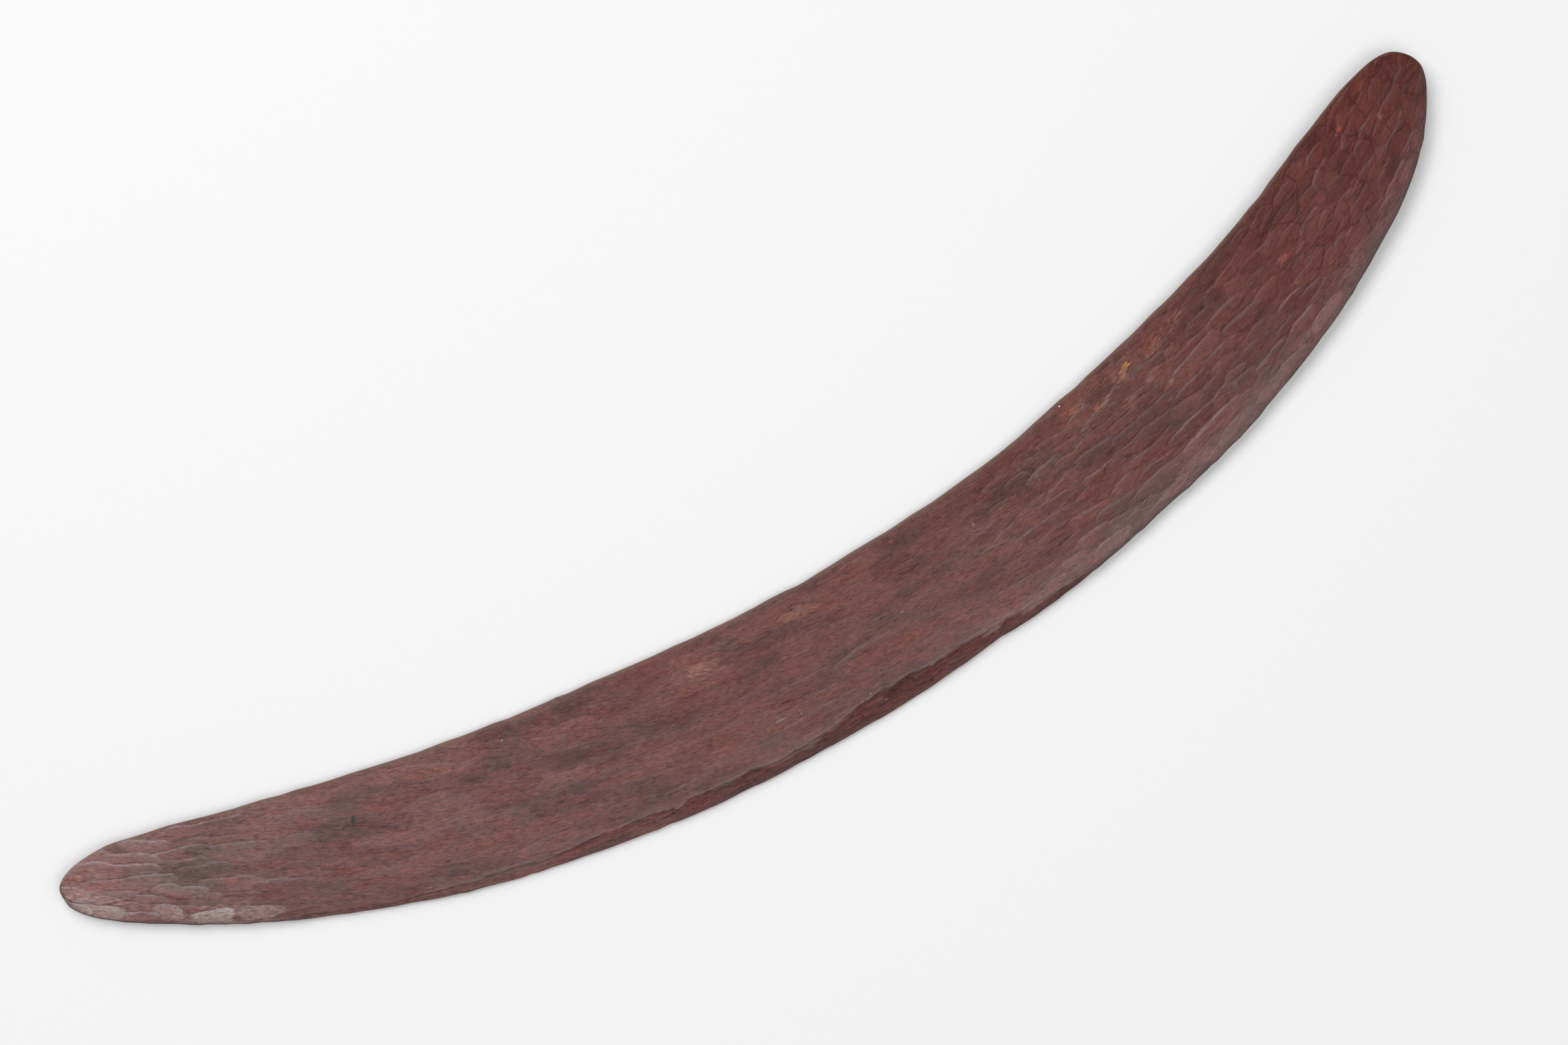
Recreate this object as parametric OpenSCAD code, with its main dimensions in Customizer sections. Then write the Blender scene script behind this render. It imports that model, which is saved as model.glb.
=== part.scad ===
// A curved throwing stick carved from one piece of hardwood.
// Seen from above it is a shallow crescent with its hollow side towards +Y.
// The blade is a row of cross-sections along a curved centreline: a flat underside,
// a domed upper face, rounded edges and a bevel along the outer, convex edge.
// Both arms rise a little from the surface that the middle rests on.

/* [Plan] */
// Straight distance between the two ends of the centreline
span = 676.5; // [600:0.5:760]
// Angle at which the left arm leaves the line between the ends
left_lean = 29.5; // [22:0.5:36]
// Angle at which the right arm leaves the line between the ends
right_lean = 38; // [30:0.5:44]
// How far the left arm keeps its heading, as a share of the span
left_reach = 0.365; // [0.3:0.005:0.42]
// How far the right arm keeps its heading, as a share of the span
right_reach = 0.285; // [0.22:0.005:0.34]

/* [Width] */
// Width at the left end, before the end is rounded
left_end_w = 24; // [20:0.5:50]
// Width at the middle of the left arm
left_arm_w = 64.5; // [54:0.5:74]
// Width at the elbow
elbow_w = 67.5; // [56:0.5:78]
// Width at the middle of the right arm
right_arm_w = 62.5; // [54:0.5:74]
// Width at the right end, before the end is rounded
right_end_w = 52; // [40:0.5:60]
// Length over which the left end is rounded
left_rounding = 32; // [26:1:60]
// Length over which the right end is rounded
right_rounding = 120; // [60:1:150]
// Fullness of the rounded ends: 2 is an ellipse, more is blunter
end_fullness = 2.4; // [2:0.1:3]

/* [Section] */
// Thickness at the elbow
elbow_h = 12; // [10:0.5:15]
// Thickness near the two ends
end_h = 8.5; // [7:0.5:10]
// Height of the edge line above the underside
edge_h = 3.6; // [2.8:0.1:4.4]
// How flat the dome is across the blade: 2 is round, more is flatter
dome_flatness = 3.4; // [2:0.1:4]
// Slope of the bevel on the outer edge
bevel_angle = 40; // [36:1:50]
// Height of the outer edge line where the bevel runs
bevel_edge_h = 2.2; // [1.8:0.1:2.4]
// Width of the rounding under each edge
under_round_w = 8; // [5:0.5:12]

/* [Lift] */
// Rise of the left end above the resting surface
left_lift = 3.5; // [0:0.5:5]
// Rise of the right end above the resting surface
right_lift = 7; // [0:0.5:8]

/* [Hidden] */

// Steps along the centreline, and steps across the upper face and the underside
stations = 92;
upper_steps = 22;
under_steps = 12;
ring_size = upper_steps + under_steps;

// The underside is made this much too deep and cut flat at the resting surface
flat_allowance = 0.5;
// Rounding of the dome where it meets the edges: less than 1 makes it steeper there
dome_shoulder = 0.75;
// The dome sinks towards the ends with this power of the end rounding
end_sink = 0.6;
// Shares of the length where each lift starts and where the bevel runs out
left_lift_from = 0.28;
right_lift_from = 0.52;
bevel_fade_from = 0.6;
bevel_fade_to = 0.74;
// Each lift grows with this power of the way from its start to the end: 1 is straight
lift_curve = 1.5;
// How far the bevel plane has risen clear of the dome where it has run out
bevel_fade_rise = 9;
// The thickness holds along the middle and falls off with this power towards the ends
thickness_hold = 2.4;

// Cubic curve of the centreline: two ends, and a handle along each arm's heading
start = [-span / 2, 0];
finish = [span / 2, 0];
start_handle = start + left_reach * span * [cos(left_lean), -sin(left_lean)];
finish_handle = finish - right_reach * span * [cos(right_lean), sin(right_lean)];

function centre_at(t) =
    pow(1 - t, 3) * start
    + 3 * pow(1 - t, 2) * t * start_handle
    + 3 * (1 - t) * pow(t, 2) * finish_handle
    + pow(t, 3) * finish;

function heading_at(t) =
    let (along = pow(1 - t, 2) * (start_handle - start)
        + 2 * (1 - t) * t * (finish_handle - start_handle)
        + pow(t, 2) * (finish - finish_handle))
    along / norm(along);

// Stations are close together at the ends, where the outline turns fastest
function station_t(i) = (1 - cos(180 * i / stations)) / 2;

// Distance travelled along the centreline at each station
travelled = [
    for (
        i = 0, s = 0;
        i <= stations;
        s = s + norm(centre_at(station_t(i + 1)) - centre_at(station_t(i))), i = i + 1
    ) s
];
blade_length = travelled[stations];

// A smooth curve through the five widths, which are a quarter of the length apart
widths = [left_end_w, left_arm_w, elbow_w, right_arm_w, right_end_w];

function width_weight(k, u, j = 0) =
    j == len(widths) ? 1
    : (j == k ? 1 : (4 * u - j) / (k - j)) * width_weight(k, u, j + 1);

function full_width(u) =
    [for (k = [0 : len(widths) - 1]) widths[k] * width_weight(k, u)]
    * [for (w = widths) 1];

// 1 along the blade, falling to 0 at the very ends on a rounded outline
function end_round(into, length) =
    pow(1 - pow(max(0, 1 - into / length), end_fullness), 1 / end_fullness);

function roundness(s) =
    end_round(s, left_rounding) * end_round(blade_length - s, right_rounding);

function lift_at(u) =
    left_lift * pow(max(0, 1 - u / left_lift_from), lift_curve)
    + right_lift * pow(max(0, (u - right_lift_from) / (1 - right_lift_from)), lift_curve);

function thickness_at(u) =
    end_h + (elbow_h - end_h) * (1 - pow(abs(2 * u - 1), thickness_hold));

function bevel_fade(u) =
    let (k = min(1, max(0, (u - bevel_fade_from) / (bevel_fade_to - bevel_fade_from))))
    bevel_fade_rise * k * k;

// Height of the upper face: across runs from -1 at the outer edge to 1 at the inner edge
function upper_z(across, half, u, round_off) =
    let (
        dome = pow(1 - pow(abs(across), dome_flatness), dome_shoulder),
        crown = (thickness_at(u) - edge_h) * pow(round_off, end_sink),
        bevel = bevel_edge_h + half * (1 + across) * tan(bevel_angle) + bevel_fade(u)
    )
    min(edge_h + crown * dome, bevel);

// Height of the underside: flat in the middle, curling up to meet the edge lines
function under_z(across, half, u, round_off) =
    let (
        curl = max(0, 1 - half * (1 - abs(across)) / min(under_round_w, half)),
        edge = upper_z(sign(across), half, u, round_off)
    )
    -flat_allowance + (edge + flat_allowance) * pow(curl, 2.2);

// One closed cross-section: over the upper face to the inner edge, then back underneath
function ring(i) =
    let (
        t = station_t(i),
        u = travelled[i] / blade_length,
        round_off = roundness(travelled[i]),
        half = full_width(u) * round_off / 2,
        centre = centre_at(t),
        heading = heading_at(t),
        inward = [-heading[1], heading[0]]
    )
    [
        for (j = [0 : ring_size - 1])
            let (
                upper = j <= upper_steps,
                turn = upper ? j / upper_steps : (ring_size - j) / under_steps,
                across = -cos(180 * turn),
                plan = centre + half * across * inward,
                z = upper ? upper_z(across, half, u, round_off) : under_z(across, half, u, round_off)
            )
            [plan[0], plan[1], z + lift_at(u)]
    ];

rings = [for (i = [1 : stations - 1]) ring(i)];
left_point = [start[0], start[1], edge_h + left_lift];
right_point = [finish[0], finish[1], edge_h + right_lift];
blade_points = [for (r = rings) each r, left_point, right_point];

// Middle of the plan, so that the blade stands over the origin
xs = [for (p = blade_points) p[0]];
ys = [for (p = blade_points) p[1]];
plan_middle = [(min(xs) + max(xs)) / 2, (min(ys) + max(ys)) / 2, 0];

ring_count = len(rings);
function point_number(r, j) = r * ring_size + j % ring_size;
left_number = ring_count * ring_size;
right_number = left_number + 1;

side_faces = [
    for (r = [0 : ring_count - 2])
        for (j = [0 : ring_size - 1])
            [
                point_number(r, j),
                point_number(r, j + 1),
                point_number(r + 1, j + 1),
                point_number(r + 1, j)
            ]
];
left_faces = [
    for (j = [0 : ring_size - 1])
        [left_number, point_number(0, j + 1), point_number(0, j)]
];
right_faces = [
    for (j = [0 : ring_size - 1])
        [right_number, point_number(ring_count - 1, j), point_number(ring_count - 1, j + 1)]
];

// The carved blade, with its underside cut flat where it rests
module blade() {
    cut_margin = 20;
    cut_size = [span + 2 * cut_margin, span, cut_margin];
    color([0.43, 0.31, 0.29])
        difference() {
            translate(-plan_middle)
                polyhedron(
                    points = blade_points,
                    faces = concat(side_faces, left_faces, right_faces),
                    convexity = 4
                );
            translate([-cut_size[0] / 2, -cut_size[1] / 2, -cut_size[2]])
                cube(cut_size);
        }
}

blade();
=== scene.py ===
"""A carved hardwood throwing stick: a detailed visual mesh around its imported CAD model.

Shape work is in millimetres. "Along" runs down the blade's centreline from the left end, and "across"
runs square to it, positive towards the inner, hollow edge. The plan and the section repeat the CAD's own
formulas, and the adze cuts, edge facets and wood grain that the CAD leaves out are made here.
"""
import math
from types import SimpleNamespace

import bpy
import numpy as np
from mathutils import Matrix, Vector


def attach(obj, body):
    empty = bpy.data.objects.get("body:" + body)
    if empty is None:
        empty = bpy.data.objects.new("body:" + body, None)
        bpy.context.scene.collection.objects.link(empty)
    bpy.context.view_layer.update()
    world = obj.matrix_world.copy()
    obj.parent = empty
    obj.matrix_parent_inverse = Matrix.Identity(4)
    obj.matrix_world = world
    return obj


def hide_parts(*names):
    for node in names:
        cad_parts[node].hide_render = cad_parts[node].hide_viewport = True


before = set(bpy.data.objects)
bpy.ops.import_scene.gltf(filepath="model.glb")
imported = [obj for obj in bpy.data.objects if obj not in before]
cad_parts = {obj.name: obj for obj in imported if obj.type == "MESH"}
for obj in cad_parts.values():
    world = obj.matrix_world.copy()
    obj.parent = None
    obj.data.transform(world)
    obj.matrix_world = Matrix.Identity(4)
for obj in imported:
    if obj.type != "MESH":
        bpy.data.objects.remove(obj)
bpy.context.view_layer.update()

MM = 0.001
SEED = 7

# ---------------------------------------------------------------- plan of the blade, as in the CAD
SPAN = 676.5
LEFT_LEAN, RIGHT_LEAN = math.radians(29.5), math.radians(38.0)
LEFT_REACH, RIGHT_REACH = 0.365, 0.285
WIDTHS = (24.0, 64.5, 67.5, 62.5, 52.0)
LEFT_ROUNDING, RIGHT_ROUNDING = 32.0, 120.0
END_FULLNESS = 2.4

# ---------------------------------------------------------------- section of the blade, as in the CAD
ELBOW_H, END_H = 12.0, 8.5
EDGE_H = 3.6
DOME_FLATNESS, DOME_SHOULDER, END_SINK = 3.4, 0.75, 0.6
THICKNESS_HOLD = 2.4
UNDER_ROUND_W, UNDER_CURL = 8.0, 2.2
FLAT_ALLOWANCE = 0.5
LEFT_LIFT, RIGHT_LIFT = 3.5, 7.0
LEFT_LIFT_FROM, RIGHT_LIFT_FROM = 0.28, 0.52
LIFT_CURVE = 1.5

# How far each real edge strays from the smooth plan, positive towards the inner side: (along, stray)
INNER_STRAY = (
    (0, -2.2), (4, -1.6), (9, -1.1), (14, -0.6), (22, 0.3), (46, 0.9), (86, 0.5), (126, 0.0), (166, -0.3),
    (198, 0.0), (250, 0.9), (286, 0.5), (326, 0.4), (354, -0.3), (378, 0.3), (422, -0.3), (470, 0.2),
    (494, 1.2), (534, 1.2), (574, 0.9), (590, -0.1), (622, -0.6), (646, 0.3), (670, 0.9), (710, 1.4),
)
OUTER_STRAY = (
    (0, 0.0), (4, -1.6), (12, -1.0), (30, 0.1), (100, 0.4), (150, 0.3), (158, -0.3), (182, -0.4), (222, 0.0),
    (270, -0.4), (310, 0.0), (366, 0.2), (390, 0.7), (406, 1.4), (416, 1.1), (430, 0.1), (460, -0.2),
    (502, 0.2), (534, -0.6), (574, 0.0), (590, 0.3), (614, 0.9), (630, 1.1), (662, 0.2), (678, -0.3),
    (698, 0.4), (710, 0.1),
)

# The stray fades out where the blade is narrower than this on each side of its centreline
STRAY_FULL_HALF = 6.0
# Small chops along each edge: (length of a chop, depth)
INNER_NICKS, OUTER_NICKS = (9.0, 0.30), (5.0, 0.28)
# Gains on the length of a chop, and how many more are made than an edge of even chops needs
NICK_LENGTHS, NICK_SPARE = (0.6, 1.5), 1.6
# The left end stops this much short of the smooth plan
LEFT_TRIM = 0.9

# Upper boundary of the steep bevel on the outer edge: (along, across)
BEVEL_TOP = (
    (92, -25.5), (100, -24.6), (118, -26.0), (138, -28.3), (150, -27.0), (160, -27.6), (172, -28.6),
    (184, -27.4), (200, -28.6), (214, -28.2), (228, -26.8), (250, -26.6), (262, -28.6), (270, -27.0),
    (298, -27.2), (306, -28.7), (322, -27.8), (334, -26.8), (344, -24.8), (354, -23.4), (372, -23.2),
    (382, -24.8), (396, -24.2), (406, -25.4), (420, -26.2), (432, -27.4), (440, -29.2), (452, -31.2),
    (462, -32.6),
)
# Steps in that line, coarse and fine: (length, depth)
BEVEL_NICKS = ((6.0, 0.35), (2.2, 0.22))
# The bevel comes in and runs out over these stretches, and past them its line stays this far off the blade
BEVEL_COMES_IN, BEVEL_RUNS_OUT = (88, 104), (452, 464)
BEVEL_CLEAR = 4.0
BEVEL_SLOPE = 0.62
# Long and short splinters that lift from the bevel: (length, width, height)
SPLINTERS = ((20, 1.7, 0.30), (7, 0.8, 0.14))
# They grow to full height over this distance below the bevel's upper boundary
SPLINTERS_GROW = (0.2, 1.4)

# The lowest strip of the outer edge is steeper still, and more so off the bevel and on the right arm
BRINK_SLOPE, BRINK_STEEPER = 1.5, 1.5
RIGHT_ARM_FROM = (440, 480)
BRINK_EDGE_H = 2.0
BRINK_WANDER = ((16, 4, 0.3),)

# ---------------------------------------------------------------- adze cuts placed one by one
# (along, across, length behind, length ahead, half width, depth, turn in degrees, tilt, bloom with painted
# highlight)
LEFT_CUTS = (
    (22, 5.0, 18, 26, 4.4, 0.45, -4, 0, 0.10),
    (28, 9.4, 11, 22, 3.2, 0.42, -5, 0, 0.20),
    (52, 9.4, 12, 18, 3.0, 0.30, 4, 0, 0.05),
    (36, 14.4, 10, 14, 3.2, 0.42, -2, 0, 0.35),
    (28, -1.0, 20, 26, 3.7, 0.38, 0, 0, 0.10),
    (6, -4.0, 5, 9, 3.6, 0.40, -10, 0, 0.20),
    (22, -5.6, 12, 14, 3.2, 0.40, 0, 0, 0.20),
    (41, -9.0, 8, 9, 2.6, 0.35, -14, 0, 0.20),
    (52, -6.6, 11, 13, 3.7, 0.55, -8, 0, 0.35),
    (63, -11.6, 10, 9, 3.1, 0.45, 0, 0, 0.35),
    (9, -10.6, 6, 7, 2.7, 0.50, -28, 0.10, 0.85),
    (21, -13.0, 9, 9, 3.7, 0.45, -8, 0.08, 0.70),
    (35, -15.6, 8, 8, 3.2, 0.40, -8, 0.06, 0.30),
    (47, -15.2, 10, 8, 4.2, 0.55, -12, 0.08, 0.75),
    (66, -19.4, 11, 8, 4.0, 0.62, 0, 0.10, 1.00),
    (85, -20.6, 11, 12, 3.8, 0.48, -10, 0.06, 0.40),
    (78, 6.4, 17, 15, 5.0, 0.42, -6, 0, 0.12),
    (62, 1.2, 16, 20, 3.4, 0.28, -3, 0, 0.05),
    (74, -6.6, 13, 20, 4.0, 0.30, -8, 0, 0.05),
    (60, 18.6, 24, 30, 3.0, 0.32, 5, 0, 0.0),
    (108, 15.4, 13, 14, 4.6, 0.34, -3, 0, 0.10),
    (96, -12.0, 14, 22, 5.0, 0.28, -8, 0, 0.0),
)
MIDDLE_CUTS = (
    (125, 28.2, 28, 28, 3.6, 0.40, 4, 0, 0.0),
    (166, 21.5, 20, 26, 4.2, 0.26, -8, 0, 0.0),
    (172, -22.6, 16, 22, 4.4, 0.32, -8, 0, 0.0),
    (206, -23.4, 14, 20, 3.6, 0.30, 2, 0, 0.0),
    (234, -21.6, 16, 22, 4.6, 0.26, 2, 0, 0.0),
    (266, -8.4, 4, 5, 1.5, 0.32, -14, 0, 0.15),
    (270, -23.6, 14, 14, 3.7, 0.32, 3, 0, 0.0),
    (293, -2.0, 20, 17, 3.6, 0.26, -5, 0, 0.0),
    (325, -5.8, 19, 24, 4.4, 0.36, -1, 0, 0.0),
    (366, -7.0, 23, 22, 4.6, 0.36, 0, 0, 0.0),
    (386, -9.0, 22, 24, 6.0, 0.30, -9, 0, 0.0),
    (330, -21.5, 22, 26, 5.0, 0.26, 3, 0, 0.0),
    (392, -19.0, 24, 26, 5.0, 0.28, -2, 0, 0.0),
    (430, -20.0, 20, 24, 5.0, 0.34, -7, 0, 0.0),
)
RIGHT_CUTS = (
    (462, 1.0, 13, 20, 3.2, 0.52, -4, 0, 0.0),
    (447, -4.2, 10, 18, 2.8, 0.45, -3, 0, 0.0),
    (453, -9.5, 11, 14, 2.8, 0.45, -4, 0, 0.0),
    (467, -12.0, 12, 20, 3.0, 0.50, -6, 0, 0.0),
    (466, -21.0, 10, 14, 3.4, 0.50, -5, 0, 0.10),
    (501, -20.6, 25, 28, 4.0, 0.60, 2, 0, 0.12),
    (534, -20.5, 22, 26, 3.8, 0.55, 0, 0, 0.12),
    (490, 5.4, 14, 18, 3.5, 0.48, -5, 0, 0.0),
    (512, -3.2, 24, 24, 3.4, 0.60, -4, 0, 0.0),
    (484, -1.8, 8, 12, 3.0, 0.45, -3, 0, 0.0),
    (500, -8.8, 10, 14, 2.6, 0.42, -3, 0, 0.0),
    (525, -12.8, 18, 24, 3.2, 0.58, -1, 0, 0.0),
    (503, -15.2, 10, 14, 2.3, 0.40, -2, 0, 0.0),
    (548, 5.0, 20, 26, 3.7, 0.58, 4, 0, 0.0),
    (540, -1.2, 11, 14, 2.6, 0.45, -2, 0, 0.0),
    (560, -1.0, 14, 18, 3.2, 0.62, -8, 0, 0.0),
    (570, 9.0, 15, 20, 3.4, 0.52, -1, 0, 0.0),
    (566, 22.0, 10, 16, 3.5, 0.48, 8, 0, 0.05),
    (588, 24.4, 17, 18, 3.7, 0.46, -2, 0, 0.05),
    (593, -10.0, 9, 12, 3.1, 0.56, -4, 0, 0.0),
    (571, -19.0, 13, 14, 3.3, 0.50, 0, 0, 0.10),
    (592, -18.8, 12, 14, 3.3, 0.50, -2, 0, 0.10),
    (540, -26.8, 15, 16, 2.7, 0.75, 3, 0.14, 0.42),
    (565, -26.4, 16, 18, 2.8, 0.80, 4, 0.14, 0.55),
    (505, -28.0, 12, 15, 2.6, 0.70, 4, 0.12, 0.60),
    (597, -25.2, 14, 18, 3.1, 0.75, 5, 0.14, 0.55),
    (472, -28.4, 14, 18, 3.2, 0.65, 3, 0.10, 0.60),
    (610, -8.0, 10, 14, 4.0, 0.45, 6, 0, 0.0),
)

# The placed cuts, with how much longer and deeper than listed each group is
PLACED_GROUPS = ((LEFT_CUTS, 1, 1.4), (MIDDLE_CUTS, 1, 1), (RIGHT_CUTS, 0.78, 1))

# Smaller cuts that fill each stretch between the listed ones:
# (from, to, spacing along, spacing across, behind, ahead, half width, depth, turn)
FILL_REGIONS = (
    (0, 105, 16, 6.0, 10, 16, 4.0, 0.28, -4),
    (95, 440, 26, 9.0, 18, 26, 6.5, 0.20, -5),
    (430, 625, 13, 5.8, 8, 11, 3.6, 0.34, -2),
    (605, 712, 11, 6.2, 7, 10, 4.0, 0.34, 2),
)
UNDER_REGIONS = ((0, 712, 34, 9.0, 24, 30, 6.4, 0.22, 0),)
# How much a filling cut varies: gains on its length, half width, depth and the gap to the next one
FILL_LENGTHS, FILL_HALVES, FILL_DEPTHS, FILL_GAPS = (0.7, 1.3), (0.8, 1.25), (0.7, 1.25), (0.7, 1.35)
# Its stray across, as a share of the spacing, and its turn in degrees
FILL_STRAY, FILL_TURN = 0.5, 8
# A filling cut whose middle lies within this share of a placed cut is left out
FILL_CLEAR = 0.8

# Masks stored on the mesh's points for the material
MASKS = ("ridge", "tone", "bloom", "wall", "bevel", "brink", "rim")

# ---------------------------------------------------------------- mesh density
# Distance between rings, which is finer where the cuts are small: (along, step)
RING_STEPS = ((0, 1.0), (100, 1.2), (140, 1.9), (420, 1.9), (460, 1.3), (620, 1.15), (712, 1.0))
CAP_LENGTH, CAP_STEPS = 12.0, 22
# Points on the centreline, and points at which the ring spacing is read
CENTRE_SAMPLES, RING_SAMPLES = 6001, 4001
# Points across each face, which crowd towards the edges by this much
UPPER_STEPS, UNDER_STEPS = 166, 24
EDGE_CROWDING = 0.2
# The material takes the underside to be this much lower, and marks on the upper face reach this deep,
# so that they don't show on the underside
UNDER_APART, MARK_REACH = 1000.0, 400.0

# ---------------------------------------------------------------- form of one adze cut
# The deepest line of a cut runs this far, as a share of its half width, towards the inner side
CUT_SKEW = 0.5
# A tilted cut is nowhere shallower than this, and uncut wood counts as this high above the surface
LEAST_DEPTH, UNCUT = 0.1, 0.3
# The outlines of the cuts sway in long and short bumps: (length, width, height)
SWAY_ALONG = ((14, 5, 2.0), (4, 2, 0.6))
SWAY_ACROSS = ((9, 5, 0.8), (3, 2, 0.2))
# A turned and swaying cut reaches this much further than its longer half: (gain, margin)
CUT_REACH = (1.15, 3)
# The adze struck from the right on the left arm, and from the left beyond this point
STRUCK_CHANGES = 300
# The wall wraps this far round the end where the adze struck, and spreads this far over the floor
WALL_WRAP, WALL_SPREAD = 0.5, 0.25
# A cut of this depth or more has the full painted highlight on its wall
FULL_WALL_DEPTH = 0.5
# A frosted cut (pale bloom with painted highlight): strength on its deepest line, gain towards its wall,
# least strength
FROST_MIDDLE, FROST_GAIN, FROST_LEAST = 0.65, 0.5, 0.2
# Up to this share of the way to the top of its wall, a cut takes the painted shade of an arris, and past it
# the painted highlight
BRIGHT_FROM = 0.1
# Slopes over which a crease comes in as a line of painted shade and as a painted highlight
DARK_CREASE, BRIGHT_CREASE = (0.04, 0.30), (0.04, 0.25)
# A crease counts as no shallower than this when the distance from it is worked out
LEAST_CREASE = 0.02
# The line of painted shade is solid to 0.3 of this width from the arris, and gone at 1.3
ARRIS_WIDTH, ARRIS_GONE = 0.8, 1.3
# Painted highlight on the wall and painted glint on its rim: strength, and the distance over which each
# fades
WALL_SHINE, WALL_FADE = 0.6, 1.9
GLINT_SHINE, GLINT_FADE = 0.9, 0.65
# Each cut's wall takes a share between these of the painted highlight
WALL_HIGHLIGHT_SHARES = (0.1, 1.0)
# The cuts fade out over this share of the half width at each edge, above and below
UPPER_HOLD, UNDER_HOLD = 0.05, 0.3
# The painted highlight on the lip above the bevel: strength and fade, and the painted shade below it: start
# and fade
LIP_SHOWS, LIP_FADE = 0.4, 0.7
UNDER_LIP_START, UNDER_LIP_FADE = 0.2, 0.5
# The painted shade along the rest of the outer edge: width, its wander, and where it has faded out
BRINK_DARK_WIDTH = 0.75
BRINK_DARK_WANDER = ((18, 6, 0.34),)
BRINK_DARK_GONE = 1.6
# The tan inner rim covers the last of the half width from here
RIM_FROM = 0.93
# The masks are worked out on a grid this many times finer than the mesh
FINER_ALONG, FINER_ACROSS = 3, 3
# The painted shade along the arrises on the underside shows this much
UNDER_ARRIS = 0.5
# How much the painted shade at arrises and painted highlight on steep cut walls show, down the blade:
# (along, share)
ARRIS_SHOWS = ((0, 0.85), (90, 0.6), (120, 0.45), (400, 0.55), (450, 0.75), (600, 0.75), (712, 0.8))
WALL_SHOWS = (
    (0, 1.75), (60, 1.5), (110, 0.6), (430, 0.48), (455, 0.50), (600, 0.50), (630, 0.38), (712, 0.30),
)
# The grain runs a little flatter than the blade, so it leaves through the outer edge: (along, drift)
GRAIN_DRIFT = ((0, 0), (120, -14), (300, -32), (450, -42), (600, -47), (712, -45))


def end_round(into, length):
    """1 along the blade, falling to 0 at its very end on a rounded outline."""
    short = np.clip(1 - into / length, 0, 1)
    return (1 - short**END_FULLNESS) ** (1 / END_FULLNESS)


class Plan:
    """The blade's centreline and half width, read at any distance along it."""

    def __init__(self):
        t = np.linspace(0, 1, CENTRE_SAMPLES)[:, None]
        start, finish = np.array([-SPAN / 2, 0.0]), np.array([SPAN / 2, 0.0])
        start_handle = start + LEFT_REACH * SPAN * np.array([math.cos(LEFT_LEAN), -math.sin(LEFT_LEAN)])
        finish_handle = finish - RIGHT_REACH * SPAN * np.array([math.cos(RIGHT_LEAN), math.sin(RIGHT_LEAN)])
        self.centre = (
            (1 - t) ** 3 * start
            + 3 * (1 - t) ** 2 * t * start_handle
            + 3 * (1 - t) * t**2 * finish_handle
            + t**3 * finish
        )
        heading = (
            (1 - t) ** 2 * (start_handle - start)
            + 2 * (1 - t) * t * (finish_handle - start_handle)
            + t**2 * (finish - finish_handle)
        )
        self.heading = heading / np.linalg.norm(heading, axis=1)[:, None]
        steps = np.linalg.norm(np.diff(self.centre, axis=0), axis=1)
        self.travelled = np.concatenate([[0], np.cumsum(steps)])
        self.length = self.travelled[-1]
        half = self.half_width(self.travelled)[:, None]
        inward = np.column_stack([-self.heading[:, 1], self.heading[:, 0]])
        outline = np.vstack([self.centre + half * inward, self.centre - half * inward])
        self.middle = (outline.min(axis=0) + outline.max(axis=0)) / 2

    def roundness(self, along):
        """1 along the blade, falling to 0 at both ends."""
        return end_round(along, LEFT_ROUNDING) * end_round(self.length - along, RIGHT_ROUNDING)

    def half_width(self, along):
        """Half the width of the smooth plan: a curve through the widths, rounded at the ends."""
        u = along / self.length
        knots = np.linspace(0, 1, len(WIDTHS))
        full = np.zeros_like(u)
        for k, width in enumerate(WIDTHS):
            weight = np.ones_like(u)
            for j, knot in enumerate(knots):
                if j != k:
                    weight = weight * (u - knot) / (knots[k] - knot)
            full = full + width * weight
        return full * self.roundness(along) / 2

    def place(self, along, across):
        """x and y in the model's frame, in millimetres, of a point given along and across the blade."""
        pick = [np.interp(along, self.travelled, self.centre[:, k]) for k in (0, 1)]
        turn = [np.interp(along, self.travelled, self.heading[:, k]) for k in (0, 1)]
        x = pick[0] - turn[1] * across - self.middle[0]
        y = pick[1] + turn[0] * across - self.middle[1]
        return x, y


def smooth_noise(rng, x, y, cell_x, cell_y):
    """Smooth random field between -1 and 1 whose bumps are about one cell in size."""
    fx, fy = (x - x.min()) / cell_x, (y - y.min()) / cell_y
    grid = rng.uniform(-1, 1, (int(fx.max()) + 3, int(fy.max()) + 3))
    ix, iy = fx.astype(int), fy.astype(int)
    tx, ty = fx - ix, fy - iy
    tx, ty = tx * tx * (3 - 2 * tx), ty * ty * (3 - 2 * ty)
    low = grid[ix, iy] * (1 - tx) + grid[ix + 1, iy] * tx
    high = grid[ix, iy + 1] * (1 - tx) + grid[ix + 1, iy + 1] * tx
    return low * (1 - ty) + high * ty


def rough_field(rng, x, y, layers):
    """Smooth random bumps in layers, each given by the (length, width, height) of its bumps."""
    return sum(smooth_noise(rng, x, y, length, width) * height for length, width, height in layers)


def nicked_line(rng, along, step, depth):
    """A line of short straight lengths, as an edge trimmed with small chops."""
    knots = np.cumsum(rng.uniform(*NICK_LENGTHS, int(along.max() / step * NICK_SPARE)) * step)
    return np.interp(along, knots, rng.uniform(-depth, depth, len(knots)))


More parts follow.
